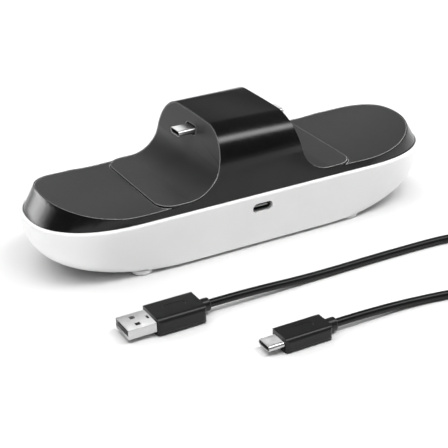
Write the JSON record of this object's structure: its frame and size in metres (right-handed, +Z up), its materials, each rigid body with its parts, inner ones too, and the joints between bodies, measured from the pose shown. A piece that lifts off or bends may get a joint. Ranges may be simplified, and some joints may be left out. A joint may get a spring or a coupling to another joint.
{
  "type": "vr controller charging dock",
  "caption": "Long oval charging dock: a hump with a male USB-C plug out of each side over a saddle and a hollowed wing, a power inlet in its long side, and a loose USB-A to USB-C cable.",
  "frame": {"origin": "on the surface that the dock stands on, under the middle of the dock", "axes": "+Z up, X along the dock from the left cradle to the right cradle, the power inlet in the long side that faces -Y"},
  "size_m": [0.2071, 0.1598, 0.0578],
  "materials": {
    "white_shell": "fine satin, moulded",
    "gloss_black": "piano gloss",
    "satin_black": "soft satin, fine spark texture",
    "foot_white": "matte",
    "plug_steel": "satin",
    "screw_steel": "bright zinc",
    "contact_black": "matte",
    "tongue_grey": "satin",
    "tie_black": "hook-and-loop strap, fine weave",
    "board_green": "solder mask, satin",
    "chip_black": "matte",
    "ferrite_grey": "matte",
    "ceramic_tan": "satin",
    "socket_white": "matte",
    "bracket_grey": "matte",
    "lead_black": "satin",
    "grip_black": "satin",
    "cord_black": "satin"
  },
  "bodies": {
    "dock": {"base_shell": "white_shell", "top_shell": "gloss_black", "foot_front_left": "foot_white", "foot_front_right": "foot_white", "foot_back_left": "foot_white", "foot_back_right": "foot_white", "case_screws": "screw_steel", "main_board": "board_green", "board_screws": "screw_steel", "lead_sockets": "socket_white", "charge_chips": "chip_black", "power_inductors": "ferrite_grey", "board_capacitors": "ceramic_tan", "inlet_shell": "plug_steel", "inlet_tongue": "tongue_grey", "cradle_liner_left": "satin_black", "wing_pad_left": "satin_black", "plug_shell_left": "plug_steel", "plug_contact_block_left": "contact_black", "plug_bracket_left": "bracket_grey", "plug_board_left": "board_green", "bracket_screws_left": "screw_steel", "plug_lead_left": "lead_black", "cradle_liner_right": "satin_black", "wing_pad_right": "satin_black", "plug_shell_right": "plug_steel", "plug_contact_block_right": "contact_black", "plug_bracket_right": "bracket_grey", "plug_board_right": "board_green", "bracket_screws_right": "screw_steel", "plug_lead_right": "lead_black"},
    "cable": {"usb_a_shell": "plug_steel", "usb_a_insert": "contact_black", "usb_a_overmold": "grip_black", "usb_a_boot": "grip_black", "usb_c_shell": "plug_steel", "usb_c_insert": "contact_black", "usb_c_overmold": "grip_black", "usb_c_boot": "grip_black", "cable_run_a": "cord_black", "cable_run_c": "cord_black", "cable_coil": "cord_black", "cable_tie": "tie_black"}
  },
  "joints": [
    {"name": "cable_lift", "type": "slide", "parent": "dock", "child": "cable", "axis": [0, 0, 1], "range_m": [0, 0.06]}
  ]
}
